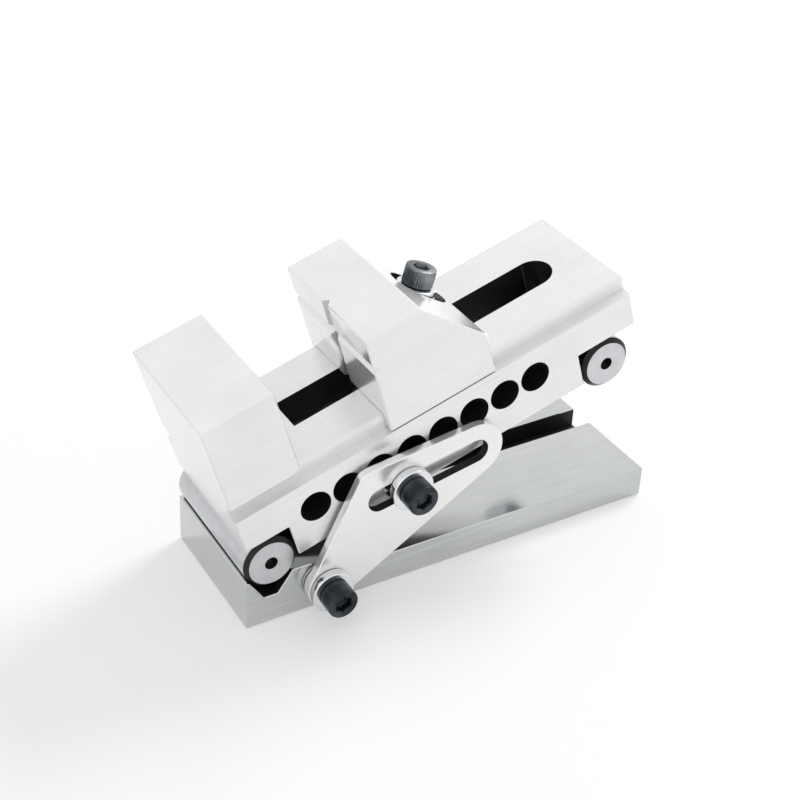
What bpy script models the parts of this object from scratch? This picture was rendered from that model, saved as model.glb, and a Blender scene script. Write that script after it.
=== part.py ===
# Screwless sine vise: a toolmaker's vise on two ground rollers, hinged in a V groove of its sine base and held at its
# angle by a slotted brace. Metres, +Z up, +X from the hinge towards the free end, origin under the middle of the base.

import math

import bmesh
import bpy
from mathutils import Matrix, Vector

MM = 0.001

# Fits: touching faces keep this gap, and the jaw slides on its rail with it
GAP = 0.25

# Sine base
BASE_LENGTH = 152.0
BASE_WIDTH = 50.0
PLATE_HEIGHT = 10.9
BLOCK_HEIGHT = 17.4
BLOCK_LENGTH = 40.0
HINGE_INSET = 8.5
V_SIDE_ANGLE = 55.0
V_FLOOR_HEIGHT = 10.0
GROOVE_NEAR_Y = 5.5
GROOVE_WIDTH = 9.8
GROOVE_FLOOR = 3.9

# Rollers and the sine distance between their axes
ROLLER_RADIUS = 9.0
ROLLER_CHAMFER = 1.4
ROLLER_CENTRE_RADIUS = 2.2
ROLLER_CENTRE_DEPTH = 3.0
SINE_DISTANCE = 127.0
REST_TILT = 17.07
AXIS_HEIGHT = 22.8
ROLLER_SCREW_INSET = 8.0
ROLLER_SCREW_RADIUS = 2.5
ROLLER_SCREW_HEAD_RADIUS = 4.25
ROLLER_SCREW_HEAD_HEIGHT = 5.0
ROLLER_SCREW_SINK = 1.4
ROLLER_SCREW_LENGTH = 20.0
ROLLER_SCREW_KEY = 4.0
ROLLER_SCREW_KEY_DEPTH = 2.5

# Vise body: a block with a narrower rail on top, the fixed jaw in one piece with it. It is as wide as the base
BODY_LENGTH = 146.0
BODY_WIDTH = BASE_WIDTH
LEDGE_HEIGHT = 25.1
RAIL_HEIGHT = 30.7
LEDGE_WIDTH = 3.45
RAIL_WIDTH = BODY_WIDTH - 2 * LEDGE_WIDTH
JAW_HEIGHT = 62.0
FIXED_JAW_LENGTH = 24.5
FIXED_JAW_RELIEF = 1.0
NOTCH_HEIGHT = 12.4
NOTCH_LENGTH = 15.1
CHANNEL_WIDTH = 26.0
CHANNEL_HEIGHT = 14.5
CHANNEL_END_WALL = 3.5
SLOT_WIDTH = 13.3
SLOT_START = 32.0
SLOT_END = 133.0

# Index holes, drilled across the body: their upper halves are the notches for the pull bar
HOLE_COUNT = 8
HOLE_RADIUS = 5.3
HOLE_PITCH = 11.67
FIRST_HOLE = 25.1

# Moving jaw
JAW_OPENING = 31.0
JAW_TOP_LENGTH = 20.0
JAW_SLOPE_LENGTH = 35.3
JAW_SLOPE_FOOT = 44.3
JAW_FOOT_LENGTH = 38.6
JAW_BACK_HEIGHT = 40.6
JAW_GROOVE_WIDTH = 4.0
JAW_GROOVE_HEIGHT = 50.5
POCKET_RADIUS = 7.2
POCKET_SWING = 4.0
SHANK_HOLE_CLEARANCE = 0.6

# Jaw clamp: a socket head screw, leaning back, pulls the cross bar up into a notch
CLAMP_HOLE_INDEX = 3
CLAMP_BAR_RADIUS = 4.7
CLAMP_BAR_DROP = 5.3
CLAMP_BAR_LENGTH = 25.0
CLAMP_LEAN = 32.1
CLAMP_HEAD_DISTANCE = 49.3
CLAMP_SCREW_RADIUS = 3.0
CLAMP_HEAD_RADIUS = 5.0
CLAMP_HEAD_HEIGHT = 6.0
CLAMP_KEY = 5.0
CLAMP_KEY_DEPTH = 3.0
CLAMP_SCREW_LENGTH = 55.0
SEAT_WASHER_RADIUS = 6.5
SEAT_WASHER_HEIGHT = 2.3
SEAT_RING_HEIGHT = 1.3
SEAT_DISH = 0.8

# Brace: a leaf-shaped strap, pivoted on the base, whose slot slides on the lock screw in the body's side
PIVOT_FROM_AXIS = 18.3
PIVOT_HEIGHT = 9.5
LOCK_HEIGHT = 5.8
STRAP_THICKNESS = 3.0
STRAP_PIVOT_ROUND = 7.3
STRAP_END_ROUND = 9.8
STRAP_SHOULDER = (13.9, 34.6)
STRAP_SHOULDER_ROUND = 5.0
STRAP_SLOT_TILT = 11.5
STRAP_SLOT_FIRST = 22.3
STRAP_SLOT_TRAVEL = 35.4
STRAP_SLOT_CLEARANCE = 1.25
BRACE_SCREW_RADIUS = 3.0
BRACE_HEAD_RADIUS = 5.1
BRACE_HEAD_HEIGHT = 6.0
BRACE_KEY = 5.0
BRACE_KEY_DEPTH = 3.0
BRACE_HOLE_DEPTH = 12.0
PIVOT_SCREW_LENGTH = 17.0
COLLAR_RADIUS = 7.2
COLLAR_HEIGHT = 2.8
SPACER_RADIUS = 7.0
SPACER_HEIGHT = 0.6

EDGE_CHAMFER = 0.4
FINE_SIDES = 48
HOLE_SIDES = 32
SMALL_SIDES = 24

# Places that follow from the sizes above, in the body's own frame: u from its left end, w from its underside
AXIS_U = NOTCH_LENGTH - GAP - ROLLER_RADIUS
AXIS_W = NOTCH_HEIGHT - GAP - ROLLER_RADIUS
FAR_NOTCH_U = AXIS_U + SINE_DISTANCE - ROLLER_RADIUS - GAP
JAW_FACE_U = FIXED_JAW_LENGTH + JAW_OPENING
HINGE_X = HINGE_INSET - BASE_LENGTH / 2
LOCK_U = FIRST_HOLE + 2.5 * HOLE_PITCH
BAR_U = FIRST_HOLE + CLAMP_HOLE_INDEX * HOLE_PITCH
BAR_W = CHANNEL_HEIGHT - CLAMP_BAR_DROP
STRAP_BACK_Y = -BASE_WIDTH / 2 - 2 * GAP - SPACER_HEIGHT
STRAP_FRONT_Y = STRAP_BACK_Y - STRAP_THICKNESS
COLLAR_FRONT_Y = STRAP_FRONT_Y - GAP - COLLAR_HEIGHT
HEAD_BACK_Y = COLLAR_FRONT_Y - GAP

STEEL = ("ground_steel", (0.80, 0.80, 0.81), 0.28, 1.0)
BASE_STEEL = ("ground_base_steel", (0.72, 0.73, 0.74), 0.30, 1.0)
ROLLER_STEEL = ("lapped_roller_steel", (0.62, 0.63, 0.64), 0.20, 1.0)
BRIGHT_STEEL = ("bright_turned_steel", (0.85, 0.85, 0.86), 0.15, 1.0)
BLACK_OXIDE = ("black_oxide_steel", (0.03, 0.03, 0.035), 0.42, 0.7)


def clear_scene():
    for obj in list(bpy.data.objects):
        bpy.data.objects.remove(obj)


def material(spec):
    name, colour, roughness, metallic = spec
    found = bpy.data.materials.get(name)
    if found:
        return found
    made = bpy.data.materials.new(name)
    made.use_nodes = True
    shader = made.node_tree.nodes["Principled BSDF"]
    shader.inputs["Base Color"].default_value = (*colour, 1.0)
    shader.inputs["Roughness"].default_value = roughness
    shader.inputs["Metallic"].default_value = metallic
    return made


def empty(name, place, tilt=0.0, parent=None):
    """An axis marker at a place in millimetres; tilt in degrees lifts its +X end."""
    made = bpy.data.objects.new(name, None)
    bpy.context.scene.collection.objects.link(made)
    made.parent = parent
    made.location = [value * MM for value in place]
    made.rotation_euler = (0.0, -math.radians(tilt), 0.0)
    return made


def add_object(name, bm, parent, finish=None, offset=(0.0, 0.0, 0.0)):
    """Turns a mesh in millimetres into an object in metres. With no finish it is a cutter."""
    bmesh.ops.recalc_face_normals(bm, faces=bm.faces)
    bmesh.ops.transform(bm, matrix=Matrix.Scale(MM, 4), verts=bm.verts)
    mesh = bpy.data.meshes.new(name)
    bm.to_mesh(mesh)
    bm.free()
    made = bpy.data.objects.new(name, mesh)
    bpy.context.scene.collection.objects.link(made)
    made.parent = parent
    made.location = [value * MM for value in offset]
    if finish:
        mesh.materials.append(material(finish))
        mesh.shade_smooth()
        mesh.set_sharp_from_angle(angle=math.radians(35))
    else:
        made.hide_render = True
        made.display_type = "WIRE"
    return made


def prism(outline, y_low, y_high):
    """The outline, (x, z) points, drawn out along Y."""
    bm = bmesh.new()
    face = bm.faces.new([bm.verts.new((x, y_low, z)) for x, z in outline])
    drawn = bmesh.ops.extrude_face_region(bm, geom=[face])
    moved = [item for item in drawn["geom"] if isinstance(item, bmesh.types.BMVert)]
    bmesh.ops.translate(bm, vec=(0.0, y_high - y_low, 0.0), verts=moved)
    return bm


def box(low, high):
    return prism([(low[0], low[2]), (high[0], low[2]), (high[0], high[2]), (low[0], high[2])], low[1], high[1])


def turned(profile, place, direction, sides):
    """A solid of revolution: profile is (radius, height) points from its foot up, set at place along direction."""
    bm = bmesh.new()
    rings = []
    for radius, height in profile:
        if radius == 0.0:
            rings.append([bm.verts.new((0.0, 0.0, height))])
            continue
        angles = [2 * math.pi * (i + 0.5) / sides for i in range(sides)]
        rings.append([bm.verts.new((radius * math.cos(a), radius * math.sin(a), height)) for a in angles])
    for lower, upper in zip(rings, rings[1:]):
        for i in range(sides):
            corners = [lower[i % len(lower)], lower[(i + 1) % len(lower)], upper[(i + 1) % len(upper)], upper[i % len(upper)]]
            bm.faces.new(list(dict.fromkeys(corners)))
    for ring in (rings[0], rings[-1]):
        if len(ring) > 1:
            bm.faces.new(ring)
    turn = Vector((0.0, 0.0, 1.0)).rotation_difference(Vector(direction)).to_matrix().to_4x4()
    bmesh.ops.transform(bm, matrix=Matrix.Translation(place) @ turn, verts=bm.verts)
    return bm


def revolved(section, place, direction, sides):
    """A ring: the closed section, (radius, height) points, turned about direction, its height 0 at place."""
    bm = bmesh.new()
    angles = [2 * math.pi * (i + 0.5) / sides for i in range(sides)]
    rings = [[bm.verts.new((radius * math.cos(a), radius * math.sin(a), rise)) for a in angles] for radius, rise in section]
    for lower, upper in zip(rings, rings[1:] + rings[:1]):
        for i in range(sides):
            j = (i + 1) % sides
            bm.faces.new([lower[i], lower[j], upper[j], upper[i]])
    turn = Vector((0.0, 0.0, 1.0)).rotation_difference(Vector(direction)).to_matrix().to_4x4()
    bmesh.ops.transform(bm, matrix=Matrix.Translation(place) @ turn, verts=bm.verts)
    return bm


def washer(inner, outer, height, chamfer, place, direction, sides):
    section = [
        (inner, 0.0),
        (outer - chamfer, 0.0),
        (outer, chamfer),
        (outer, height - chamfer),
        (outer - chamfer, height),
        (inner, height),
    ]
    return revolved(section, place, direction, sides)


def rod(radius, start, direction, length, sides=HOLE_SIDES):
    return turned([(radius, 0.0), (radius, length)], start, direction, sides)


def hull(circles, sides=FINE_SIDES):
    """The outline stretched round circles given as (x, z, radius)."""
    angles = [2 * math.pi * i / sides for i in range(sides)]
    points = sorted({(round(x + r * math.cos(a), 6), round(z + r * math.sin(a), 6)) for x, z, r in circles for a in angles})
    outline = []
    for run in (points, points[::-1]):
        chain = []
        for point in run:
            while len(chain) > 1 and turns_right(chain[-2], chain[-1], point):
                chain.pop()
            chain.append(point)
        outline += chain[:-1]
    return outline


def turns_right(a, b, c):
    return (b[0] - a[0]) * (c[1] - a[1]) - (b[1] - a[1]) * (c[0] - a[0]) <= 1e-9


def cut(target, cutter):
    boolean = target.modifiers.new(cutter.name, "BOOLEAN")
    boolean.operation = "DIFFERENCE"
    boolean.solver = "EXACT"
    boolean.object = cutter


def break_edges(target, width=EDGE_CHAMFER, angle=30.0):
    """Chamfers every sharp edge, as a stone does after grinding."""
    bevel = target.modifiers.new("broken_edges", "BEVEL")
    bevel.width = width * MM
    bevel.segments = 1
    bevel.limit_method = "ANGLE"
    bevel.angle_limit = math.radians(angle)
    bevel.harden_normals = False




def socket_screw(head_radius, head_height, key, key_depth, shank_radius, shank_length, direction):
    """A socket head screw, its origin under the head and direction pointing out of the head."""
    chamfer = 0.08 * head_radius
    tip = 0.25 * shank_radius
    levels = [
        (False, shank_radius - tip, -shank_length),
        (False, shank_radius, tip - shank_length),
        (False, shank_radius, 0.0),
        (False, head_radius, 0.0),
        (False, head_radius, head_height - chamfer),
        (False, head_radius - chamfer, head_height),
        (True, key / 2, head_height),
        (True, key / 2, head_height - key_depth),
    ]
    bm = bmesh.new()
    rings = []
    for six_sided, radius, height in levels:
        ring = []
        for i in range(SMALL_SIDES):
            angle = 2 * math.pi * i / SMALL_SIDES
            fold = (angle + math.radians(30)) % math.radians(60) - math.radians(30)
            reach = radius / math.cos(fold) if six_sided else radius
            ring.append(bm.verts.new((reach * math.cos(angle), reach * math.sin(angle), height)))
        rings.append(ring)
    for lower, upper in zip(rings, rings[1:]):
        for i in range(SMALL_SIDES):
            j = (i + 1) % SMALL_SIDES
            bm.faces.new([lower[i], lower[j], upper[j], upper[i]])
    bm.faces.new(rings[0])
    bm.faces.new(rings[-1])
    turn = Vector((0.0, 0.0, 1.0)).rotation_difference(Vector(direction)).to_matrix().to_4x4()
    bmesh.ops.transform(bm, matrix=turn, verts=bm.verts)
    return bm


def join(*meshes):
    """One mesh from several that do not meet."""
    whole = bmesh.new()
    for part in meshes:
        passing = bpy.data.meshes.new("passing")
        part.to_mesh(passing)
        part.free()
        whole.from_mesh(passing)
        bpy.data.meshes.remove(passing)
    return whole


def build_base():
    left = -BASE_LENGTH / 2
    side = math.radians(V_SIDE_ANGLE)
    reach = ROLLER_RADIUS + GAP

    def v_half_width(height):
        return (reach - (AXIS_HEIGHT - height) * math.cos(side)) / math.sin(side)

    low, high = v_half_width(V_FLOOR_HEIGHT), v_half_width(BLOCK_HEIGHT)
    outline = [
        (left, 0.0),
        (-left, 0.0),
        (-left, PLATE_HEIGHT),
        (left + BLOCK_LENGTH, PLATE_HEIGHT),
        (left + BLOCK_LENGTH, BLOCK_HEIGHT),
        (HINGE_X + high, BLOCK_HEIGHT),
        (HINGE_X + low, V_FLOOR_HEIGHT),
        (HINGE_X - low, V_FLOOR_HEIGHT),
        (HINGE_X - high, BLOCK_HEIGHT),
        (left, BLOCK_HEIGHT),
    ]
    half = BASE_WIDTH / 2
    base = add_object("sine_base", prism(outline, -half, half), None, BASE_STEEL)
    break_edges(base, 0.3)
    groove = box((left + BLOCK_LENGTH, GROOVE_NEAR_Y, GROOVE_FLOOR), (-left + 5.0, GROOVE_NEAR_Y + GROOVE_WIDTH, PLATE_HEIGHT + 3.0))
    cut(base, add_object("relief_groove", groove, None))
    pivot = (HINGE_X + PIVOT_FROM_AXIS, -half - 2.0, PIVOT_HEIGHT)
    cut(base, add_object("pivot_hole", rod(BRACE_SCREW_RADIUS + GAP, pivot, (0.0, 1.0, 0.0), BRACE_HOLE_DEPTH + 2.0), None))


def build_body(axis):
    """The vise body in the tilting frame, whose origin is the hinge roller's axis."""

    def at(u, w):
        return (u - AXIS_U, w - AXIS_W)

    half = BODY_WIDTH / 2
    outline = [
        at(0.0, NOTCH_HEIGHT),
        at(NOTCH_LENGTH, NOTCH_HEIGHT),
        at(NOTCH_LENGTH, 0.0),
        at(FAR_NOTCH_U, 0.0),
        at(FAR_NOTCH_U, NOTCH_HEIGHT),
        at(BODY_LENGTH, NOTCH_HEIGHT),
        at(BODY_LENGTH, RAIL_HEIGHT),
        at(FIXED_JAW_LENGTH, RAIL_HEIGHT),
        at(FIXED_JAW_LENGTH, JAW_HEIGHT),
        at(0.0, JAW_HEIGHT),
    ]
    body = add_object("vise_body", prism(outline, -half, half), axis, STEEL)
    break_edges(body)
    for side, name in ((-1, "near"), (1, "far")):
        inner, outer = side * RAIL_WIDTH / 2, side * (half + 3.0)
        (x_low, z_low), (x_high, z_high) = at(-3.0, LEDGE_HEIGHT), at(BODY_LENGTH + 3.0, RAIL_HEIGHT)
        edge = box((x_low, min(inner, outer), z_low), (x_high, max(inner, outer), z_high))
        cut(body, add_object(f"rail_edge_{name}", edge, axis))

    for first in (0, 1):
        holes = []
        for i in range(first, HOLE_COUNT, 2):
            x, z = at(FIRST_HOLE + i * HOLE_PITCH, CHANNEL_HEIGHT)
            holes.append(rod(HOLE_RADIUS, (x, -half - 3.0, z), (0.0, 1.0, 0.0), BODY_WIDTH + 6.0))
        cut(body, add_object(f"index_holes_{first + 1}", join(*holes), axis))

    (x_low, z_low), (x_high, z_high) = at(NOTCH_LENGTH + CHANNEL_END_WALL, -3.0), at(FAR_NOTCH_U - CHANNEL_END_WALL, CHANNEL_HEIGHT)
    channel = box((x_low, -CHANNEL_WIDTH / 2, z_low), (x_high, CHANNEL_WIDTH / 2, z_high))
    cut(body, add_object("pull_bar_channel", channel, axis))

    lean = math.tan(math.radians(CLAMP_LEAN))
    low, high = CHANNEL_HEIGHT - 1.5, RAIL_HEIGHT + 3.0
    round_u = SLOT_END - SLOT_WIDTH / 2
    slot = prism(
        [
            at(SLOT_START + (low - RAIL_HEIGHT) * lean, low),
            at(round_u, low),
            at(round_u, high),
            at(SLOT_START + (high - RAIL_HEIGHT) * lean, high),
        ],
        -SLOT_WIDTH / 2,
        SLOT_WIDTH / 2,
    )
    cut(body, add_object("rail_slot", slot, axis))
    x, z = at(round_u, low - 0.2)
    slot_end = rod(SLOT_WIDTH / 2, (x, 0.0, z), (0.0, 0.0, 1.0), high - low + 0.7)
    cut(body, add_object("rail_slot_end", slot_end, axis))

    x, z = at(FIXED_JAW_LENGTH - 0.3, RAIL_HEIGHT + 0.3)
    cut(body, add_object("jaw_relief", rod(FIXED_JAW_RELIEF, (x, -half - 3.0, z), (0.0, 1.0, 0.0), BODY_WIDTH + 6.0, 16), axis))
    x, z = at(LOCK_U, LOCK_HEIGHT)
    lock_hole = rod(BRACE_SCREW_RADIUS + GAP, (x, -half - 3.0, z), (0.0, 1.0, 0.0), (BODY_WIDTH - CHANNEL_WIDTH) / 2 + 4.0)
    cut(body, add_object("lock_hole", lock_hole, axis))
    screw_holes = []
    for x in (0.0, SINE_DISTANCE):
        for y in roller_screw_places():
            screw_holes.append(rod(ROLLER_SCREW_RADIUS + GAP, (x, y, ROLLER_RADIUS - 2.0), (0.0, 0.0, 1.0), 14.0, SMALL_SIDES))
    cut(body, add_object("roller_screw_holes", join(*screw_holes), axis))


def roller_screw_places():
    reach = BODY_WIDTH / 2 - ROLLER_SCREW_INSET
    return (-reach, reach)


def build_rollers(axis):
    """Both rollers and the screws that hold them in their notches from below."""
    half = BODY_WIDTH / 2
    profile = [
        (0.0, ROLLER_CENTRE_DEPTH),
        (ROLLER_CENTRE_RADIUS, ROLLER_CENTRE_DEPTH),
        (ROLLER_CENTRE_RADIUS, 0.0),
        (ROLLER_RADIUS - ROLLER_CHAMFER, 0.0),
        (ROLLER_RADIUS, ROLLER_CHAMFER),
        (ROLLER_RADIUS, BODY_WIDTH - ROLLER_CHAMFER),
        (ROLLER_RADIUS - ROLLER_CHAMFER, BODY_WIDTH),
        (ROLLER_CENTRE_RADIUS, BODY_WIDTH),
        (ROLLER_CENTRE_RADIUS, BODY_WIDTH - ROLLER_CENTRE_DEPTH),
        (0.0, BODY_WIDTH - ROLLER_CENTRE_DEPTH),
    ]
    head_top = ROLLER_RADIUS - ROLLER_SCREW_SINK
    seat = head_top - ROLLER_SCREW_HEAD_HEIGHT
    for name, x in (("hinge_roller", 0.0), ("sine_roller", SINE_DISTANCE)):
        roller = add_object(name, turned(profile, (0.0, -half, 0.0), (0.0, 1.0, 0.0), FINE_SIDES), axis, ROLLER_STEEL, (x, 0.0, 0.0))
        sinks, holes = [], []
        for y in roller_screw_places():
            sinks.append(rod(ROLLER_SCREW_HEAD_RADIUS + GAP, (0.0, y, -ROLLER_RADIUS - 2.0), (0.0, 0.0, 1.0), ROLLER_RADIUS + 2.0 - seat + GAP, SMALL_SIDES))
            holes.append(rod(ROLLER_SCREW_RADIUS + GAP, (0.0, y, -ROLLER_RADIUS - 1.0), (0.0, 0.0, 1.0), 2 * ROLLER_RADIUS + 3.0, SMALL_SIDES))
        cut(roller, add_object(f"{name}_counterbores", join(*sinks), axis, None, (x, 0.0, 0.0)))
        cut(roller, add_object(f"{name}_screw_holes", join(*holes), axis, None, (x, 0.0, 0.0)))
        for y, side in zip(roller_screw_places(), ("near", "far")):
            screw = socket_screw(
                ROLLER_SCREW_HEAD_RADIUS,
                ROLLER_SCREW_HEAD_HEIGHT,
                ROLLER_SCREW_KEY,
                ROLLER_SCREW_KEY_DEPTH,
                ROLLER_SCREW_RADIUS,
                ROLLER_SCREW_LENGTH,
                (0.0, 0.0, -1.0),
            )
            add_object(f"{name}_screw_{side}", screw, axis, BLACK_OXIDE, (x, y, -seat))


def build_jaw(axis):
    """The moving jaw and its clamp, in the tilting frame. The bar is let down out of the notches, as when the jaw is moved."""

    def at(u, w):
        return (u - AXIS_U, w - AXIS_W)

    half = BODY_WIDTH / 2
    face = JAW_FACE_U
    outline = [
        at(face, LEDGE_HEIGHT + GAP),
        at(face + JAW_FOOT_LENGTH, LEDGE_HEIGHT + GAP),
        at(face + JAW_FOOT_LENGTH, JAW_BACK_HEIGHT),
        at(face + JAW_SLOPE_LENGTH, JAW_SLOPE_FOOT),
        at(face + JAW_TOP_LENGTH, JAW_HEIGHT),
        at(face, JAW_HEIGHT),
    ]
    jaw = add_object("moving_jaw", prism(outline, -half, half), axis, STEEL)
    break_edges(jaw)
    (x_low, z_low), (x_high, z_high) = at(face - 3.0, LEDGE_HEIGHT - 3.0), at(face + JAW_FOOT_LENGTH + 3.0, RAIL_HEIGHT + GAP)
    way = RAIL_WIDTH / 2 + GAP
    cut(jaw, add_object("jaw_way", box((x_low, -way, z_low), (x_high, way, z_high)), axis))

    reach = JAW_GROOVE_WIDTH / 2
    x, z = at(face, JAW_GROOVE_HEIGHT)
    level_groove = prism([(x - 1.0, z - reach - 1.0), (x + reach, z), (x - 1.0, z + reach + 1.0)], -half - 3.0, half + 3.0)
    cut(jaw, add_object("level_work_groove", level_groove, axis))
    upright = prism([(x - 1.0, -reach - 1.0), (x + reach, 0.0), (x - 1.0, reach + 1.0)], -(JAW_HEIGHT - AXIS_W) - 3.0, -(RAIL_HEIGHT - AXIS_W) + 1.0)
    bmesh.ops.transform(upright, matrix=Matrix.Rotation(math.radians(-90), 4, "X"), verts=upright.verts)
    cut(jaw, add_object("upright_work_groove", upright, axis))

    lean = math.radians(CLAMP_LEAN)
    along = Vector((math.sin(lean), 0.0, math.cos(lean)))
    bar_x, bar_z = at(BAR_U, BAR_W)
    bar = Vector((bar_x, 0.0, bar_z))
    head = CLAMP_HEAD_DISTANCE
    washer_foot = head - GAP - SEAT_WASHER_HEIGHT
    ring_foot = washer_foot - GAP - SEAT_RING_HEIGHT
    pocket_floor = ring_foot - GAP
    cut(jaw, add_object("clamp_shank_hole", rod(CLAMP_SCREW_RADIUS + SHANK_HOLE_CLEARANCE, bar + along * 10.0, along, 45.0), axis))
    down = Vector((math.cos(lean), 0.0, -math.sin(lean)))
    floor = bar + along * pocket_floor
    pocket = prism(hull([(-POCKET_SWING / 2, 0.0, POCKET_RADIUS), (POCKET_SWING, 0.0, POCKET_RADIUS)], HOLE_SIDES), 0.0, 22.0)
    frame = Matrix((down, along, Vector((0.0, 1.0, 0.0)))).transposed().to_4x4()
    bmesh.ops.transform(pocket, matrix=Matrix.Translation(floor) @ frame, verts=pocket.verts)
    cut(jaw, add_object("clamp_pocket", pocket, axis))

    bore = CLAMP_SCREW_RADIUS + GAP
    dish = SEAT_DISH
    seat_section = [
        (bore, 0.0),
        (SEAT_WASHER_RADIUS, 0.0),
        (SEAT_WASHER_RADIUS, SEAT_RING_HEIGHT),
        (SEAT_WASHER_RADIUS - 0.6, SEAT_RING_HEIGHT),
        ((bore + SEAT_WASHER_RADIUS) / 2, SEAT_RING_HEIGHT - 0.6 * dish),
        (bore, SEAT_RING_HEIGHT - dish),
    ]
    washer_section = [
        (bore, -dish),
        ((bore + SEAT_WASHER_RADIUS) / 2, -0.6 * dish),
        (SEAT_WASHER_RADIUS - 0.6, 0.0),
        (SEAT_WASHER_RADIUS, 0.3),
        (SEAT_WASHER_RADIUS, SEAT_WASHER_HEIGHT - 0.3),
        (SEAT_WASHER_RADIUS - 0.3, SEAT_WASHER_HEIGHT),
        (bore, SEAT_WASHER_HEIGHT),
    ]
    add_object("clamp_seat", revolved(seat_section, (0.0, 0.0, 0.0), along, HOLE_SIDES), axis, BRIGHT_STEEL, bar + along * ring_foot)
    add_object("clamp_washer", revolved(washer_section, (0.0, 0.0, 0.0), along, HOLE_SIDES), axis, BRIGHT_STEEL, bar + along * washer_foot)
    screw = socket_screw(CLAMP_HEAD_RADIUS, CLAMP_HEAD_HEIGHT, CLAMP_KEY, CLAMP_KEY_DEPTH, CLAMP_SCREW_RADIUS, CLAMP_SCREW_LENGTH, along)
    add_object("clamp_screw", screw, axis, BLACK_OXIDE, bar + along * head)

    length = CLAMP_BAR_LENGTH
    profile = [
        (CLAMP_BAR_RADIUS - 0.6, 0.0),
        (CLAMP_BAR_RADIUS, 0.6),
        (CLAMP_BAR_RADIUS, length - 0.6),
        (CLAMP_BAR_RADIUS - 0.6, length),
    ]
    pull_bar = add_object("pull_bar", turned(profile, (0.0, -length / 2, 0.0), (0.0, 1.0, 0.0), HOLE_SIDES), axis, ROLLER_STEEL, bar)
    thread = rod(bore, -8.0 * along, along, 16.0, SMALL_SIDES)
    cut(pull_bar, add_object("pull_bar_thread", thread, axis, None, bar))


def build_brace():
    """The strap with its two screws, at the angle it takes at rest. Its frame has its origin on the pivot."""
    pivot = empty("brace_pivot", (HINGE_X + PIVOT_FROM_AXIS, 0.0, PIVOT_HEIGHT))
    slot_tilt = math.radians(STRAP_SLOT_TILT)
    along = Vector((math.cos(slot_tilt), math.sin(slot_tilt)))
    across = Vector((-math.sin(slot_tilt), math.cos(slot_tilt)))
    tilt = math.radians(REST_TILT)
    u, w = LOCK_U - AXIS_U, LOCK_HEIGHT - AXIS_W
    lock = Vector((u * math.cos(tilt) - w * math.sin(tilt) - PIVOT_FROM_AXIS, AXIS_HEIGHT + u * math.sin(tilt) + w * math.cos(tilt) - PIVOT_HEIGHT))
    offset = lock.dot(across)
    first = along * STRAP_SLOT_FIRST + across * offset
    last = along * (STRAP_SLOT_FIRST + STRAP_SLOT_TRAVEL) + across * offset
    outline = hull([(0.0, 0.0, STRAP_PIVOT_ROUND), (*STRAP_SHOULDER, STRAP_SHOULDER_ROUND), (*last, STRAP_END_ROUND)])
    strap = add_object("brace_strap", prism(outline, STRAP_FRONT_Y, STRAP_BACK_Y), pivot, STEEL)
    break_edges(strap, 0.3, 60.0)
    play, slide = BRACE_SCREW_RADIUS + GAP, BRACE_SCREW_RADIUS + STRAP_SLOT_CLEARANCE
    slot = prism(hull([(*first, slide), (*last, slide)], HOLE_SIDES), STRAP_FRONT_Y - 2.0, STRAP_BACK_Y + 2.0)
    cut(strap, add_object("strap_slot", slot, pivot))
    cut(strap, add_object("strap_eye", rod(play, (0.0, STRAP_FRONT_Y - 2.0, 0.0), (0.0, 1.0, 0.0), STRAP_THICKNESS + 4.0), pivot))

    out = (0.0, -1.0, 0.0)
    stack = ((pivot, "pivot", (0.0, 0.0), PIVOT_SCREW_LENGTH), (None, "lock", tuple(lock), -HEAD_BACK_Y - BODY_WIDTH / 2 - GAP))
    lock_frame = empty("brace_lock", (0.0, 0.0, 0.0), parent=pivot)
    for frame, name, (x, z), length in stack:
        frame = frame or lock_frame
        add_object(f"{name}_spacer", washer(play, SPACER_RADIUS, SPACER_HEIGHT, 0.1, (0.0, 0.0, 0.0), out, HOLE_SIDES), frame, BRIGHT_STEEL, (x, -BODY_WIDTH / 2 - GAP, z))
        add_object(f"{name}_washer", washer(play, COLLAR_RADIUS, COLLAR_HEIGHT, 0.3, (0.0, 0.0, 0.0), out, HOLE_SIDES), frame, BRIGHT_STEEL, (x, STRAP_FRONT_Y - GAP, z))
        screw = socket_screw(BRACE_HEAD_RADIUS, BRACE_HEAD_HEIGHT, BRACE_KEY, BRACE_KEY_DEPTH, BRACE_SCREW_RADIUS, length, out)
        add_object(f"{name}_screw", screw, frame, BLACK_OXIDE, (x, HEAD_BACK_Y, z))


clear_scene()
bpy.context.scene.unit_settings.scale_length = 1.0
build_base()
hinge_axis = empty("hinge_axis", (HINGE_X, 0.0, AXIS_HEIGHT), REST_TILT)
build_body(hinge_axis)
build_rollers(hinge_axis)
build_jaw(hinge_axis)
build_brace()
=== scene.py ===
# Screwless sine vise on its base, as it stands in the photograph: tilted 17 degrees with the jaws part open.
# The scene is in metres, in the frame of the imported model. The values are in millimetres unless a note says.
# The vise runs along X, and the brace is on the -Y side.

import math

import bmesh
import bpy
import numpy as np
from mathutils import Matrix, Vector


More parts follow.
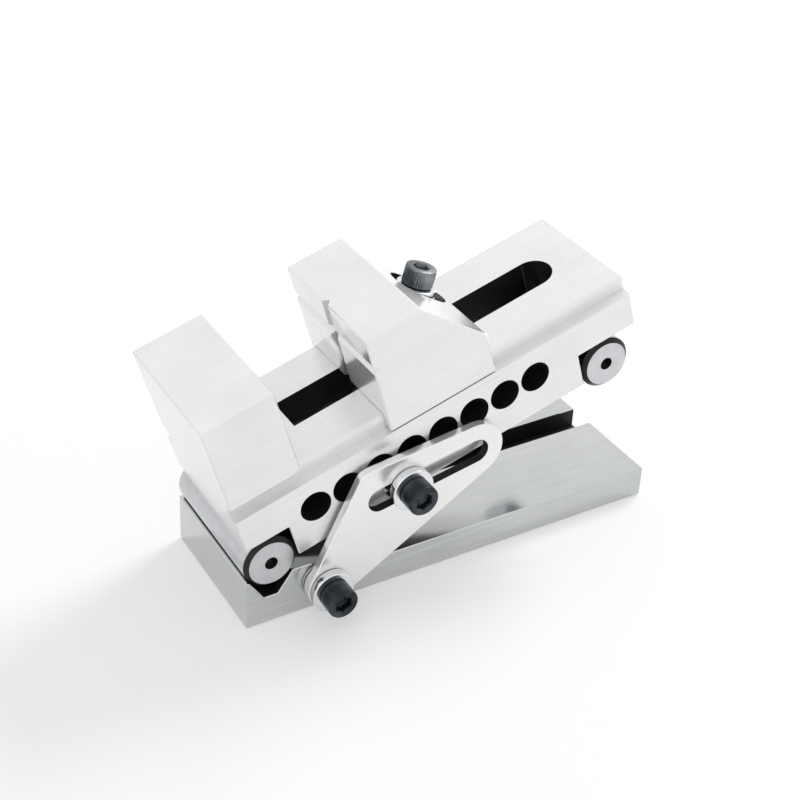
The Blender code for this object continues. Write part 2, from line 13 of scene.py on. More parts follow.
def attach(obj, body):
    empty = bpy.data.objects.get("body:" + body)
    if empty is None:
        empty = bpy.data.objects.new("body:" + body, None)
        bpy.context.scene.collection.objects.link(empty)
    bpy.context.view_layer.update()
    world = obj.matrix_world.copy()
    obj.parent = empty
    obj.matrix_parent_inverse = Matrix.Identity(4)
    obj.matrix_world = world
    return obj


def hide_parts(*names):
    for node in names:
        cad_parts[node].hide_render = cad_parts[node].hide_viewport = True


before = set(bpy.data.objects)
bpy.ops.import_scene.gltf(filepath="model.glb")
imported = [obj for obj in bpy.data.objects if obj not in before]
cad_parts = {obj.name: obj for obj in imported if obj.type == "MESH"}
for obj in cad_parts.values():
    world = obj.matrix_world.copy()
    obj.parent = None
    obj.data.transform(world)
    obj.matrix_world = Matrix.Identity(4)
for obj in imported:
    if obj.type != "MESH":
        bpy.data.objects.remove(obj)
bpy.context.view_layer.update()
scene = bpy.context.scene
mm = 0.001

# The tilting frame of the vise, in mm: u runs along the body and w up from its underside
vise = {"hinge": (-67.5, 22.8), "tilt": 17.07, "axisU": 5.85, "axisW": 3.15, "sineDistance": 127.0}
tilt = math.radians(vise["tilt"])
alongBody = np.array([math.cos(tilt), 0, math.sin(tilt)])
upFromBody = np.array([-math.sin(tilt), 0, math.cos(tilt)])
across = np.array([0.0, 1.0, 0.0])
towardsViewer = -across
hingePlace = np.array([vise["hinge"][0], 0.0, vise["hinge"][1]])


def bodyPoint(u, y, w):
    # The hinge's axis, moved along the body, across it and up from it
    return hingePlace + alongBody * (u - vise["axisU"]) + across * y + upFromBody * (w - vise["axisW"])


# Materials


def hexToLinear(code):
    parts = np.array([int(code[i : i + 2], 16) for i in (1, 3, 5)]) / 255
    linear = np.where(parts <= 0.04045, parts / 12.92, ((parts + 0.055) / 1.055) ** 2.4)
    return (*linear.tolist(), 1.0)


def addNode(tree, kind, inputs=None, links=None, **settings):
    # A node with its settings, its unlinked inputs and its links, each an input with another node's output
    node = tree.nodes.new(kind)
    for key, value in settings.items():
        setattr(node, key, value)
    for key, value in (inputs or {}).items():
        node.inputs[key].default_value = value
    for key, (source, output) in (links or {}).items():
        tree.links.new(source.outputs[output], node.inputs[key])
    return node


def linkTo(tree, source, output, target, socket):
    tree.links.new(source.outputs[output], target.inputs[socket])


def blendColours(tree, shader, look, pattern, output, low, high):
    # The look's dark and light colours, blended between two levels of the pattern
    tint = addNode(tree, "ShaderNodeValToRGB", links={"Fac": (pattern, output)})
    tint.color_ramp.elements[0].position, tint.color_ramp.elements[0].color = low, hexToLinear(look["dark"])
    tint.color_ramp.elements[1].position, tint.color_ramp.elements[1].color = high, hexToLinear(look["light"])
    linkTo(tree, tint, "Color", shader, "Base Color")


def varyRoughness(tree, shader, look, pattern, output, fromMin=0.0, fromMax=1.0):
    low, high = look["roughness"]
    span = {"From Min": fromMin, "From Max": fromMax, "To Min": low, "To Max": high}
    sheen = addNode(tree, "ShaderNodeMapRange", span, {"Value": (pattern, output)})
    linkTo(tree, sheen, "Result", shader, "Roughness")


reliefDepth = 0.00005  # metres


def addRelief(tree, shader, look, pattern, output):
    depth = {"Strength": look["bump"], "Distance": reliefDepth}
    relief = addNode(tree, "ShaderNodeBump", depth, {"Height": (pattern, output)})
    linkTo(tree, relief, "Normal", shader, "Normal")


def newMaterial(name, shaderInputs):
    made = bpy.data.materials.new(name)
    made.use_nodes = True
    tree = made.node_tree
    tree.nodes.clear()
    shader = addNode(tree, "ShaderNodeBsdfPrincipled", shaderInputs)
    addNode(tree, "ShaderNodeOutputMaterial", links={"Surface": (shader, "BSDF")})
    return made, tree, shader


# Hardened tool steel, surface ground: the wheel leaves fine lines along the piece, on a satin bright face.
# The real lines are a few hundredths of a millimetre apart, too fine to show: they are drawn 0.35 mm apart.
# A metal's metallic value is 1. It is lower here, so that soft shadows show on the faces as on the real ones.
groundSteelLook = {
    "light": "#F0F0EF",
    "dark": "#E6E6E6",
    "roughness": (0.21, 0.25),
    "lineSpacing": 0.35,
    "lineLength": 30.0,
    "cloudSize": 22.0,
    "bump": 0.01,
    "metallic": 0.65,
}

# The base is ground finer. Its colour is greyer than the vise's as painted shade, for the darker reflections
# of the vise and floor in it. The strap is cut from paler ground strip.
baseSteelLook = {"light": "#CDCFCF", "dark": "#C0C2C3", "roughness": (0.10, 0.13), "metallic": 0.95}
strapSteelLook = {"light": "#F4F4F4", "dark": "#EEEEEE", "lineSpacing": 0.5, "cloudSize": 14.0}


def groundSteel(name, look, turn=0.0):
    made, tree, shader = newMaterial(name, {"Metallic": look["metallic"], "Roughness": 0.27})
    place = addNode(tree, "ShaderNodeTexCoord")
    level = addNode(tree, "ShaderNodeMapping", {"Rotation": (0, turn, 0)}, {"Vector": (place, "Object")})
    stretch = (1000 / look["lineLength"], 1000 / look["lineSpacing"], 1000 / look["lineSpacing"])
    drawn = addNode(tree, "ShaderNodeMapping", {"Scale": stretch}, {"Vector": (level, "Vector")})
    lineNoise = {"Scale": 1.0, "Detail": 3.0, "Roughness": 0.6}
    lines = addNode(tree, "ShaderNodeTexNoise", lineNoise, {"Vector": (drawn, "Vector")})
    cloudNoise = {"Scale": 1000 / look["cloudSize"], "Detail": 2.0}
    clouds = addNode(tree, "ShaderNodeTexNoise", cloudNoise, {"Vector": (level, "Vector")})
    both = addNode(tree, "ShaderNodeMix", {"Factor": 0.4}, data_type="FLOAT")
    linkTo(tree, lines, "Fac", both, "A")
    linkTo(tree, clouds, "Fac", both, "B")
    blendColours(tree, shader, look, both, "Result", 0.38, 0.62)
    varyRoughness(tree, shader, look, both, "Result", 0.3, 0.7)
    addRelief(tree, shader, look, lines, "Fac")
    return made


# Turned or cylindrically ground steel: the tool marks are rings about the axis, drawn 0.3 mm apart.
turnedSteelLooks = {
    "roller": {"light": "#D5D6D8", "dark": "#BDBFC2", "roughness": (0.16, 0.28), "bump": 0.04},
    "washer": {"light": "#F0F0F1", "dark": "#D9DADC", "roughness": (0.12, 0.22), "bump": 0.05},
}
ringSpacing = 0.3
waveRepeat = 0.314  # Blender's wave texture repeats this often in a unit at scale 1


def turnedSteel(name, look, centre, turn=0.0):
    made, tree, shader = newMaterial(name, {"Metallic": 1.0, "Roughness": 0.2})
    place = addNode(tree, "ShaderNodeTexCoord")
    middle = {1: tuple(centre)}
    shift = addNode(tree, "ShaderNodeVectorMath", middle, {0: (place, "Object")}, operation="SUBTRACT")
    turnAndScale = {"Rotation": (math.radians(90), turn, 0), "Scale": (1000, 1000, 1000)}
    level = addNode(tree, "ShaderNodeMapping", turnAndScale, {"Vector": (shift, "Vector")})
    rings = addNode(
        tree,
        "ShaderNodeTexWave",
        {"Scale": waveRepeat / ringSpacing, "Distortion": 0.6, "Detail": 2.0, "Detail Scale": 1.5},
        {"Vector": (level, "Vector")},
        wave_type="RINGS",
        rings_direction="Z",
    )
    smudgeNoise = {"Scale": 0.25, "Detail": 3.0}
    smudge = addNode(tree, "ShaderNodeTexNoise", smudgeNoise, {"Vector": (level, "Vector")})
    both = addNode(tree, "ShaderNodeMix", {"Factor": 0.6}, data_type="FLOAT")
    linkTo(tree, rings, "Fac", both, "A")
    linkTo(tree, smudge, "Fac", both, "B")
    blendColours(tree, shader, look, both, "Result", 0.25, 0.75)
    varyRoughness(tree, shader, look, both, "Result")
    addRelief(tree, shader, look, rings, "Fac")
    return made


# Black oxide on alloy steel: a thin oiled layer, satin black with a faint blue cast and worn spots.
blackOxideLook = {
    "dark": "#282D31",
    "light": "#4C545A",
    "roughness": (0.26, 0.40),
    "grain": 0.8,
    "smudge": 6.0,
    "bump": 0.12,
    "metallic": 0.85,
}

# The clamp screw is the one that is turned all day: its oxide is worn to a dull grey.
wornOxideLook = {"dark": "#5C6266", "light": "#9A9FA2"}

# Painted shade: the walls of holes, slots, grooves and notches are coloured almost black, dull and slightly
# rough, for the shade that falls in them.
paintedShadeLook = {
    "dark": "#0B0B0C",
    "light": "#1B1B1D",
    "roughness": (0.45, 0.65),
    "grain": 0.5,
    "smudge": 5.0,
    "bump": 0.15,
    "metallic": 0.3,
}


# Makes the black oxide, and also the almost black painted shade material of the hollows
def oxideAndShadeMaterial(name, look):
    made, tree, shader = newMaterial(name, {"Metallic": look["metallic"], "Roughness": 0.35})
    place = addNode(tree, "ShaderNodeTexCoord")
    fineNoise = {"Scale": 1000 / look["grain"], "Detail": 3.0}
    grain = addNode(tree, "ShaderNodeTexNoise", fineNoise, {"Vector": (place, "Object")})
    broadNoise = {"Scale": 1000 / look["smudge"], "Detail": 2.0}
    smudge = addNode(tree, "ShaderNodeTexNoise", broadNoise, {"Vector": (place, "Object")})
    blendColours(tree, shader, look, smudge, "Fac", 0.35, 0.75)
    varyRoughness(tree, shader, look, grain, "Fac", 0.3, 0.7)
    addRelief(tree, shader, look, grain, "Fac")
    return made


strapSlope = math.radians(11.5)
viseSteel = groundSteel("surface-ground tool steel, along the vise", groundSteelLook, tilt)
baseLook, strapLook = {**groundSteelLook, **baseSteelLook}, {**groundSteelLook, **strapSteelLook}
baseSteel = groundSteel("surface-ground tool steel, along the base", baseLook)
strapSteel = groundSteel("surface-ground tool steel, along the strap", strapLook, strapSlope)
# Painted shade: an almost black material put on the walls of the hollows, for the shade in them
paintedShade = oxideAndShadeMaterial("painted shade in holes and grooves", paintedShadeLook)
oxide = oxideAndShadeMaterial("black oxide on alloy steel", blackOxideLook)
wornOxide = oxideAndShadeMaterial("worn black oxide", {**blackOxideLook, **wornOxideLook})
print("materials made")


# Surfaces


def putMesh(name, points, faces, body, material, replaced=(), smoothAngle=35.0):
    # A mesh from whole arrays, put in the scene
    mesh = bpy.data.meshes.new(name)
    mesh.from_pydata(points.tolist(), [], faces)
    made = bpy.data.objects.new(name, mesh)
    scene.collection.objects.link(made)
    return finishPiece(made, body, material, replaced, smoothAngle)


def finishPiece(made, body, material, replaced, smoothAngle):
    # Doubles merged, normals outwards, smooth across its round walls, riding on its body
    work = bmesh.new()
    work.from_mesh(made.data)
    bmesh.ops.remove_doubles(work, verts=work.verts, dist=1e-6)
    bmesh.ops.recalc_face_normals(work, faces=work.faces)
    work.to_mesh(made.data)
    work.free()
    made.data.shade_smooth()
    made.data.set_sharp_from_angle(angle=math.radians(smoothAngle))
    made.data.materials.clear()
    made.data.materials.append(material)
    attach(made, body)
    if replaced:
        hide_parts(*replaced)
    return made


def axesFor(direction):
    # Two unit vectors square to the direction and to each other
    along = np.array(direction, float)
    side = np.cross(along, across if abs(along[1]) < 0.9 else [0.0, 0.0, 1.0])
    side /= np.linalg.norm(side)
    return side, np.cross(along, side), along


def turnedSurface(radii, heights, place, direction, closedRing=False):
    # A surface of revolution: the place, plus each radius along its spoke, plus the height along the axis.
    # radii is a grid of levels by angles, and heights has one value for each level.
    levels, steps = radii.shape
    side, other, along = axesFor(direction)
    angle = np.linspace(0, 2 * np.pi, steps, endpoint=False)
    spokes = np.outer(np.cos(angle), side) + np.outer(np.sin(angle), other)
    points = np.array(place) + radii[:, :, None] * spokes[None] + np.asarray(heights)[:, None, None] * along
    index = np.arange(levels * steps).reshape(levels, steps)
    lower = index if closedRing else index[:-1]
    upper = np.roll(index, -1, axis=0) if closedRing else index[1:]
    quads = np.stack([lower, np.roll(lower, -1, axis=1), np.roll(upper, -1, axis=1), upper], axis=-1)
    faces = quads.reshape(-1, 4).tolist()
    if not closedRing:
        faces += [index[0].tolist()[::-1], index[-1].tolist()]
    return points.reshape(-1, 3) * mm, faces


def roundedProfile(corners, steps=5):
    # The corners (radius, height, rounding), each rounded one a quadratic curve that touches both its sides
    drawn = []
    for i, (radius, height, rounding) in enumerate(corners):
        here = np.array([radius, height])
        if not rounding:
            drawn.append(here)
            continue
        before = np.array(corners[i - 1][:2]) - here
        after = np.array(corners[(i + 1) % len(corners)][:2]) - here
        start = here + before / np.linalg.norm(before) * rounding
        end = here + after / np.linalg.norm(after) * rounding
        share = np.linspace(0, 1, steps)[:, None]
        drawn.extend((1 - share) ** 2 * start + 2 * share * (1 - share) * here + share**2 * end)
    return np.array(drawn)


# Socket head screws

sides = 144  # around each turned piece
screwAngles = np.linspace(0, 2 * np.pi, sides, endpoint=False)

# What every screw shares: its edges, its hexagon's countersink and floor, and its thread, whose depth is a
# share of the pitch. Each level of the surface is plain or cut in one of three ways.
screwShape = {
    "tip": 0.9,
    "neck": 0.25,
    "bevel": 0.3,
    "countersink": (0.45, 0.25),
    "socketEdge": 0.3,
    "drillPoint": (0.45, 0.7, 1.0),
    "threadSteps": 6,
    "threadEnd": 1.2,
    "threadDepth": 0.61,
    "threadShare": 0.9,
}
plain, threaded, knurled, hexagonal = range(4)


def hexagonReach(angle):
    # How far a hexagon reaches for a flat at 1: one over the cosine of the angle to the nearest flat
    fold = (angle + np.pi / 6) % (np.pi / 3) - np.pi / 6
    return 1 / np.cos(fold)


def socketScrew(name, look, place, direction, body, replaced, finish=oxide):
    # Head, knurl, socket and threaded shank in one surface, from the shank's tip up to the socket's floor
    head, height, key, edge = look["headRadius"], look["headHeight"], look["key"] / 2, look["edge"]
    length, shank, pitch = look["length"], look["shankRadius"], look["pitch"]
    tip, bevel, steps = screwShape["tip"], screwShape["bevel"], screwShape["threadSteps"]
    outer, inner = screwShape["countersink"]
    pointShare, pointRise, pointDepth = screwShape["drillPoint"]
    turns = int((length - screwShape["threadEnd"]) / pitch * steps)
    rows = [(0.0, -length, plain), (shank - tip, -length, plain)]
    rows += [(shank, -length + tip + step * pitch / steps, threaded) for step in range(turns)]
    rows += [(shank, -screwShape["neck"], plain), (shank, 0.0, plain)]
    rows += [(head - bevel, 0.0, plain), (head, bevel, plain)]
    if look["knurl"]:
        rows += [(head, bevel + 0.01, knurled), (head, height - edge - bevel, knurled)]
    rows += [(head, height - edge, plain)]
    for share in np.linspace(0.2, 1, 5):
        bend = share * math.pi / 2
        rows.append((head - edge * (1 - math.cos(bend)), height - edge + edge * math.sin(bend), plain))
    socketFloor = height - look["keyDepth"]
    rows += [(key + outer, height, plain), (key + inner, height, hexagonal)]
    rows += [(key, height - screwShape["socketEdge"], hexagonal), (key, socketFloor, hexagonal)]
    rows += [(key * pointShare, socketFloor - pointRise, plain), (0.0, socketFloor - pointDepth, plain)]
    radius, level, kind = (np.array(column) for column in zip(*rows))
    kind = kind[:, None]
    radii = np.repeat(radius[:, None], sides, axis=1)
    winding = (level[:, None] / pitch - screwAngles[None] / (2 * np.pi)) % 1
    groove = pitch * screwShape["threadDepth"] * np.abs(2 * winding - 1) * screwShape["threadShare"]
    ridges = 0.5 + 0.5 * np.cos(screwAngles * look["ridges"])[None]
    radii = np.where(kind == threaded, radii - groove, radii)
    radii = np.where(kind == knurled, radii - look["knurl"] * ridges, radii)
    radii = np.where(kind == hexagonal, radii * hexagonReach(screwAngles)[None], radii)
    points, faces = turnedSurface(radii, level, place, direction)
    return putMesh(name, points, faces, body, finish, replaced, 40.0)


braceScrew = {
    "headRadius": 5.1,
    "headHeight": 6.0,
    "edge": 0.6,
    "key": 5.0,
    "keyDepth": 2.4,
    "shankRadius": 3.0,
    "pitch": 1.0,
    "knurl": 0.0,
    "ridges": 36,
}
clampScrew = {**braceScrew, "headRadius": 5.0, "edge": 0.5, "keyDepth": 3.0, "knurl": 0.22, "length": 55.0}

pivotPlace = np.array([-49.2, 0.0, 9.5])
lock = {"u": 54.275, "w": 5.8}
lockPlace = bodyPoint(lock["u"], 0.0, lock["w"])
stack = {"spacerBack": -25.25, "washerBack": -29.35, "headBack": -32.4}  # along Y, for both brace screws
braceScrews = (("pivot", pivotPlace, 17.0, "base"), ("lock", lockPlace, 7.15, "brace_lock"))
for label, place, length, body in braceScrews:
    look = {**braceScrew, "length": length}
    headBack = place + across * stack["headBack"]
    socketScrew(f"{label}Screw", look, headBack, towardsViewer, body, [f"{label}_screw"])

# The clamp screw stands in the bar's centre and leans away from the fixed jaw, so that it pulls the jaw home
clamp = {
    "lean": 32.1,
    "barU": 60.11,
    "barW": 9.2,
    "headFromBar": 49.3,
    "washerHeight": 2.3,
    "seatHeight": 1.3,
    "gap": 0.25,
}
lean = math.radians(clamp["lean"])
alongClamp = alongBody * math.sin(lean) + upFromBody * math.cos(lean)
barPlace = bodyPoint(clamp["barU"], 0.0, clamp["barW"])
headPlace = barPlace + alongClamp * clamp["headFromBar"]
socketScrew("clampScrew", clampScrew, headPlace, alongClamp, "jaw_screw", ["clamp_screw"], wornOxide)
print("socket screws made")


# Washers, spacers and the clamp's dished seat


def turnedRing(name, corners, place, direction, body, material, replaced):
    profile = roundedProfile(corners)
    radii = np.repeat(profile[:, :1], sides, axis=1)
    points, faces = turnedSurface(radii, profile[:, 1], place, direction, closedRing=True)
    return putMesh(name, points, faces, body, material, [replaced], 30.0)


flatRings = {
    "spacer": {"inner": 3.25, "outer": 7.0, "height": 0.6, "rounding": 0.12},
    "washer": {"inner": 3.25, "outer": 7.2, "height": 2.8, "rounding": 0.5},
}


def flatRing(name, look, place, body, replaced):
    inner, outer, height, rounding = look["inner"], look["outer"], look["height"], look["rounding"]
    corners = [(inner, 0.0, 0), (outer, 0.0, rounding), (outer, height, rounding), (inner, height, 0)]
    steel = turnedSteel(f"bright turned steel, {name}", turnedSteelLooks["washer"], place * mm)
    return turnedRing(name, corners, place, towardsViewer, body, steel, replaced)


for label, place, _, body in braceScrews:
    spacerBack, washerBack = place + across * stack["spacerBack"], place + across * stack["washerBack"]
    flatRing(f"{label}Spacer", flatRings["spacer"], spacerBack, body, f"{label}_spacer")
    flatRing(f"{label}Washer", flatRings["washer"], washerBack, body, f"{label}_washer")

washerFoot = clamp["headFromBar"] - clamp["gap"] - clamp["washerHeight"]
seatFoot = washerFoot - clamp["gap"] - clamp["seatHeight"]
washerPlace, seatPlace = barPlace + alongClamp * washerFoot, barPlace + alongClamp * seatFoot
clampLook = turnedSteelLooks["washer"]
clampSteel = turnedSteel("bright turned steel, clamp washer", clampLook, headPlace * mm, lean - tilt)

# The washer's lower face is part of a sphere and the seat is dished to match it
dish = {"bore": 3.25, "middle": 4.875, "rim": 5.9, "outer": 6.5}
clampWasher = [
    (dish["bore"], -0.8, 0),
    (dish["middle"], -0.48, 0.5),
    (dish["rim"], 0.0, 0.3),
    (dish["outer"], 0.3, 0.2),
    (dish["outer"], clamp["washerHeight"], 0.4),
    (dish["bore"], clamp["washerHeight"], 0),
]
clampSeat = [
    (dish["bore"], 0.0, 0),
    (dish["outer"], 0.0, 0.2),
    (dish["outer"], clamp["seatHeight"], 0.15),
    (dish["rim"], clamp["seatHeight"], 0.15),
    (dish["middle"], 0.82, 0.5),
    (dish["bore"], 0.5, 0),
]
turnedRing("clampWasher", clampWasher, washerPlace, alongClamp, "jaw", clampSteel, "clamp_washer")
turnedRing("clampSeat", clampSeat, seatPlace, alongClamp, "jaw", clampSteel, "clamp_seat")
print("washers made")


# The solids whose shape is already right: a merged copy, smooth across round walls, takes the node's place


def dressedNode(name, node, body, material, smoothAngle=14.0, shadedWalls=None):
    made = bpy.data.objects.new(name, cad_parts[node].data.copy())
    scene.collection.objects.link(made)
    finishPiece(made, body, material, [node], smoothAngle)
    if shadedWalls:  # a function of the faces' centres and normals that says which get the painted shade
        made.data.materials.append(paintedShade)
        count = len(made.data.polygons)
        centres, normals = np.empty(count * 3), np.empty(count * 3)
        made.data.polygons.foreach_get("center", centres)
        made.data.polygons.foreach_get("normal", normals)
        shadeMask = shadedWalls(centres.reshape(-1, 3) / mm, normals.reshape(-1, 3))
        made.data.polygons.foreach_set("material_index", shadeMask.astype(np.int32))
    return made


def inBodyFrame(points, normals):
    # u, y, w of each point and of each normal: their parts along the tilting frame's axes
    away = points - hingePlace
    u, w = away @ alongBody + vise["axisU"], away @ upFromBody + vise["axisW"]
    place = np.stack([u, away[:, 1], w], axis=1)
    return place, np.stack([normals @ alongBody, normals[:, 1], normals @ upFromBody], axis=1)


# How large one part of a face's normal is, for the face to count as lying one way
facing = {"across": 0.3, "half": 0.5, "end": 0.9, "flat": 0.95}

# The limits of the hollows, a little outside their walls
bodyHollows = {
    "hole": {"first": 25.1, "pitch": 11.67, "last": 7, "height": 14.5, "reach": 5.5},
    "slot": {"start": 19, "end": 133.4, "half": 6.8, "floor": 12.8, "above": 13.2, "top": 30.6},
    "channel": {"start": 18.4, "end": 120.4, "half": 13.2, "roof": 14.5, "above": 14.7, "margin": 0.2},
    "notch": {"end": 15.3, "start": 123.4, "roof": 12.6},
    "screwHole": {"floor": 12.7, "top": 23, "spread": 17, "reach": 3, "hingeEnd": 10, "sineU": 132.85},
    "lockReach": 4.4,
}


def insideBody(points, normals):
    # Walls that get the painted shade: the cross holes, rail slot, channel, roller notches and screw holes
    place, normal = inBodyFrame(points, normals)
    u, y, w = place.T
    facingU, facingY, facingW = normal.T
    side = np.abs(y)
    wall = np.abs(facingY) < facing["across"]

    hole = bodyHollows["hole"]
    number = np.clip(np.round((u - hole["first"]) / hole["pitch"]), 0, hole["last"])
    nearest = hole["first"] + hole["pitch"] * number
    shadeMask = (np.hypot(u - nearest, w - hole["height"]) < hole["reach"]) & wall

    slot = bodyHollows["slot"]
    inSlot = (side < slot["half"]) & (w > slot["floor"]) & (u > slot["start"])
    shadeMask |= inSlot & (w < slot["top"]) & (u < slot["end"]) & (np.abs(facingW) < facing["flat"])
    shadeMask |= inSlot & (w < slot["above"])

    channel = bodyHollows["channel"]
    inChannel = (side < channel["half"]) & (w < channel["above"])
    inChannel &= (u > channel["start"]) & (u < channel["end"]) & (facingW > -facing["flat"])
    roof = (side < channel["half"]) & (np.abs(w - channel["roof"]) < channel["margin"])
    shadeMask |= inChannel | roof

    notch = bodyHollows["notch"]
    inNotch = ((u < notch["end"]) | (u > notch["start"])) & (w < notch["roof"]) & wall
    shadeMask |= inNotch & ((facingW < -facing["half"]) | (np.abs(facingU) > facing["half"]))
    shadeMask |= (np.hypot(u - lock["u"], w - lock["w"]) < bodyHollows["lockReach"]) & wall

    screw = bodyHollows["screwHole"]
    overRoller = (u < screw["hingeEnd"]) | (np.abs(u - screw["sineU"]) < screw["reach"])
    inScrew = (w > screw["floor"]) & (w < screw["top"]) & (np.abs(side - screw["spread"]) < screw["reach"])
    return shadeMask | inScrew & overRoller & (np.abs(facingW) < facing["half"])


# The clamp's pocket and screw hole, whose walls get the painted shade. The jaw's slope runs through the same
# limits and is told by its normal.
pocket = {"half": 7.3, "reach": 11.5, "floor": 30.9, "top": 61.5, "start": 60}
jawSlope = {"facing": 0.763, "margin": 0.05}


def insideJaw(points, normals):
    # The distance from the clamp screw's axis, within the jaw and off its slope
    place, normal = inBodyFrame(points, normals)
    u, y, w = place.T
    away = points - barPlace
    distance = np.linalg.norm(away - np.outer(away @ alongClamp, alongClamp), axis=1)
    inPocket = (np.abs(y) < pocket["half"]) & (distance < pocket["reach"]) & (u > pocket["start"])
    offSlope = np.abs(normal[:, 0] - jawSlope["facing"]) > jawSlope["margin"]
    return inPocket & (w > pocket["floor"]) & (w < pocket["top"]) & offSlope


baseHollows = {
    "groove": {"x": (-36.2, 75.5), "y": (5.4, 15.4), "z": (3.5, 10.7)},
    "vee": {"half": 7.6, "z": (9.5, 17.1)},
    "pivotReach": 4.4,
}


def insideBase(points, normals):
    # Walls that get the painted shade: the V groove, the relief groove and the pivot screw's hole
    x, y, z = points.T
    wall = np.abs(normals[:, 1]) < facing["half"]
    low, high = np.array([baseHollows["groove"][axis] for axis in "xyz"]).T
    groove = np.all((points > low) & (points < high), axis=1)
    veeFloor, veeTop = baseHollows["vee"]["z"]
    vee = (np.abs(x - hingePlace[0]) < baseHollows["vee"]["half"]) & (z > veeFloor) & (z < veeTop) & wall
    hole = (np.hypot(x - pivotPlace[0], z - pivotPlace[2]) < baseHollows["pivotReach"]) & wall
    return groove | vee | hole


strapSlot = {"first": 18.0, "last": 62.0, "half": 4.6, "margin": 0.2}  # from the pivot, along the strap


def insideStrap(points, normals):
    # The slot's walls, which get the painted shade: the distance along and across the slot's own line
    alongSlot = np.array([math.cos(strapSlope), 0, math.sin(strapSlope)])
    acrossSlot = np.array([-math.sin(strapSlope), 0, math.cos(strapSlope)])
    reach = (points - pivotPlace) @ alongSlot
    inSlot = reach > strapSlot["first"] - strapSlot["margin"]
    inSlot &= reach < strapSlot["last"] + strapSlot["margin"]
    inSlot &= np.abs((points - lockPlace) @ acrossSlot) < strapSlot["half"]
    return inSlot & (np.abs(normals[:, 1]) < facing["across"])


rollerEnd = {"reach": 7.5, "face": 24.9}


def insideRoller(axis):
    def shadedWalls(points, normals):
        # Painted shade on the end chamfers, and on the centre holes and the counterbores of the screws: near
        # the axis, but not on the flat ends
        away = points - axis
        distance = np.hypot(away[:, 0], away[:, 2])
        lying = np.abs(normals[:, 1])
        edge = (lying > facing["across"]) & (lying < facing["end"])
        flatEnd = (lying > facing["end"]) & (np.abs(points[:, 1]) > rollerEnd["face"])
        return edge | (distance < rollerEnd["reach"]) & ~flatEnd

    return shadedWalls


dressedNode("viseBody", "vise_body", "vise", viseSteel, shadedWalls=insideBody)
dressedNode("movingJaw", "moving_jaw", "jaw", viseSteel, shadedWalls=insideJaw)
dressedNode("sineBase", "sine_base", "base", baseSteel, shadedWalls=insideBase)
dressedNode("braceStrap", "brace_strap", "brace", strapSteel, shadedWalls=insideStrap)
sinePlace = hingePlace + alongBody * vise["sineDistance"]
rollers = (("hingeRoller", hingePlace, "hinge_roller"), ("sineRoller", sinePlace, "sine_roller"))
for label, place, node in rollers:
    rollerSteel = turnedSteel(f"lapped roller steel, {label}", turnedSteelLooks["roller"], place * mm)
    dressedNode(label, node, "vise", rollerSteel, 20.0, insideRoller(place))
    for end in ("near", "far"):
        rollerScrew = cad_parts[f"{node}_screw_{end}"].data
        rollerScrew.materials.clear()
        rollerScrew.materials.append(oxide)
barSteel = turnedSteel("lapped roller steel, pull bar", turnedSteelLooks["roller"], barPlace * mm)
dressedNode("pullBar", "pull_bar", "jaw", barSteel, 20.0)
print("body, jaw, base, strap and rollers dressed")


# Floor, light and camera

# In metres. For the eye and in reflections a share of the floor is plain white, and the rest takes shadow.
floor = {"size": 8.0, "drop": 0.0002, "seen": 1.0, "ownWhite": 0.36}
corners = np.array([[-1, -1, 0], [1, -1, 0], [1, 1, 0], [-1, 1, 0]]) * floor["size"] / 2
corners[:, 2] = -floor["drop"]
floorMesh = bpy.data.meshes.new("floor")
floorMesh.from_pydata(corners.tolist(), [], [[0, 1, 2, 3]])
floorObject = bpy.data.objects.new("floor", floorMesh)
scene.collection.objects.link(floorObject)
paperLook = {"Base Color": hexToLinear("#F7F7F7"), "Roughness": 0.9}
paper, paperTree, paperShader = newMaterial("matt white paper", paperLook)
paperRays = addNode(paperTree, "ShaderNodeLightPath")
rayKinds = {0: (paperRays, "Is Camera Ray"), 1: (paperRays, "Is Glossy Ray")}
shown = addNode(paperTree, "ShaderNodeMath", links=rayKinds, operation="MAXIMUM")
ownShare = {1: floor["ownWhite"]}
share = addNode(paperTree, "ShaderNodeMath", ownShare, {0: (shown, "Value")}, operation="MULTIPLY")
white = addNode(paperTree, "ShaderNodeEmission", {"Color": hexToLinear("#FFFFFF"), "Strength": floor["seen"]})
sheet = addNode(paperTree, "ShaderNodeMixShader", links={"Fac": (share, "Value")})
paperTree.links.new(paperShader.outputs["BSDF"], sheet.inputs[1])
paperTree.links.new(white.outputs["Emission"], sheet.inputs[2])
paperOut = [node for node in paperTree.nodes if node.bl_idname == "ShaderNodeOutputMaterial"][0]
linkTo(paperTree, sheet, "Shader", paperOut, "Surface")
floorMesh.materials.append(paper)

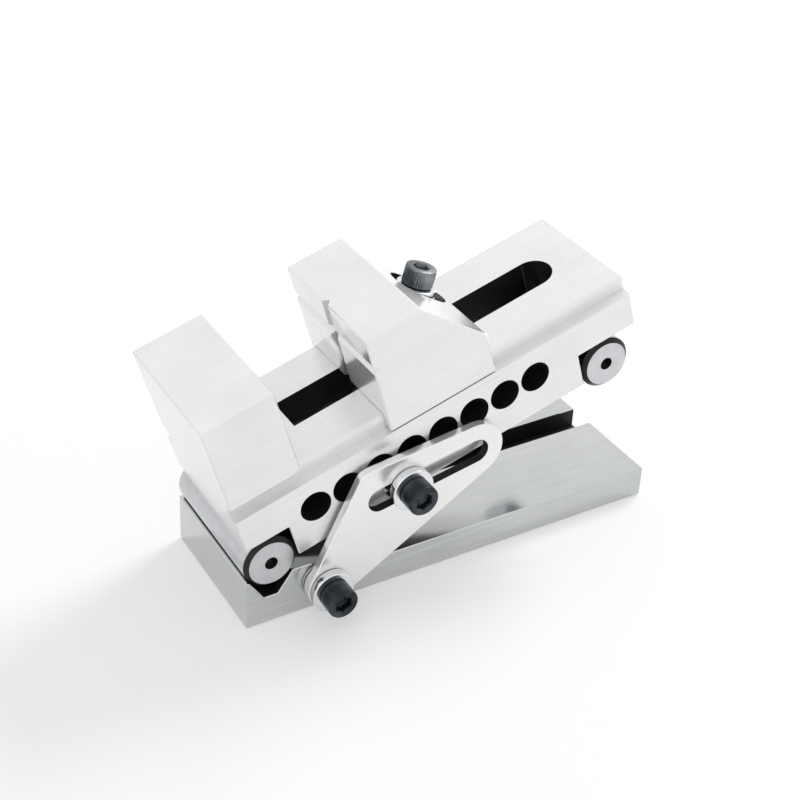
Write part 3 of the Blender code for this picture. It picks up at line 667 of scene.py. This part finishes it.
studio = {"lit": 0.76, "seen": 1.0}  # the white that lights the pieces, and the white that is seen
world = bpy.data.worlds.new("studio")
scene.world = world
world.use_nodes = True
worldTree = world.node_tree
worldTree.nodes.clear()
rays = addNode(worldTree, "ShaderNodeLightPath")
plainWhite = hexToLinear("#FFFFFF")
lit = addNode(worldTree, "ShaderNodeBackground", {"Color": plainWhite, "Strength": studio["lit"]})
seen = addNode(worldTree, "ShaderNodeBackground", {"Color": plainWhite, "Strength": studio["seen"]})
direct = addNode(worldTree, "ShaderNodeMath", operation="MAXIMUM")
linkTo(worldTree, rays, "Is Camera Ray", direct, 0)
linkTo(worldTree, rays, "Is Glossy Ray", direct, 1)
mixed = addNode(worldTree, "ShaderNodeMixShader", links={"Fac": (direct, "Value")})
worldTree.links.new(lit.outputs["Background"], mixed.inputs[1])
worldTree.links.new(seen.outputs["Background"], mixed.inputs[2])
addNode(worldTree, "ShaderNodeOutputWorld", links={"Surface": (mixed, "Shader")})

# Round lamps, in metres and watts, that point at the vise
aim = Vector((0, 0, 0.03))
lamps = {
    "key": {"place": (0.85, 0.30, 0.90), "size": 0.5, "power": 7.5},
    "fill": {"place": (-1.00, -0.60, 0.80), "size": 0.9, "power": 1.0},
}
for name, look in lamps.items():
    lamp = bpy.data.lights.new(name, "AREA")
    lamp.shape = "DISK"
    lamp.size = look["size"]
    lamp.energy = look["power"]
    placed = bpy.data.objects.new(name, lamp)
    scene.collection.objects.link(placed)
    placed.location = look["place"]
    placed.rotation_euler = (aim - Vector(look["place"])).to_track_quat("-Z", "Y").to_euler()

# The camera's place in metres, its three directions, its lens in mm and the shift of the frame
view = {
    "place": (-0.2447, -0.3722, 0.3473),
    "right": (0.8816, -0.4718, 0.0185),
    "up": (0.2196, 0.4445, 0.8685),
    "forward": (0.4179, 0.7615, -0.4955),
    "lens": 73.74,
    "shift": (0.105, -0.1592),
}
lens = bpy.data.cameras.new("camera")
lens.sensor_width = 36.0
lens.lens = view["lens"]
lens.shift_x, lens.shift_y = view["shift"]
camera = bpy.data.objects.new("camera", lens)
scene.collection.objects.link(camera)
turn = Matrix((view["right"], view["up"], tuple(-value for value in view["forward"]))).transposed()
camera.matrix_world = Matrix.Translation(view["place"]) @ turn.to_4x4()
scene.camera = camera
scene.view_settings.view_transform = "Standard"
print("floor, light and camera made")
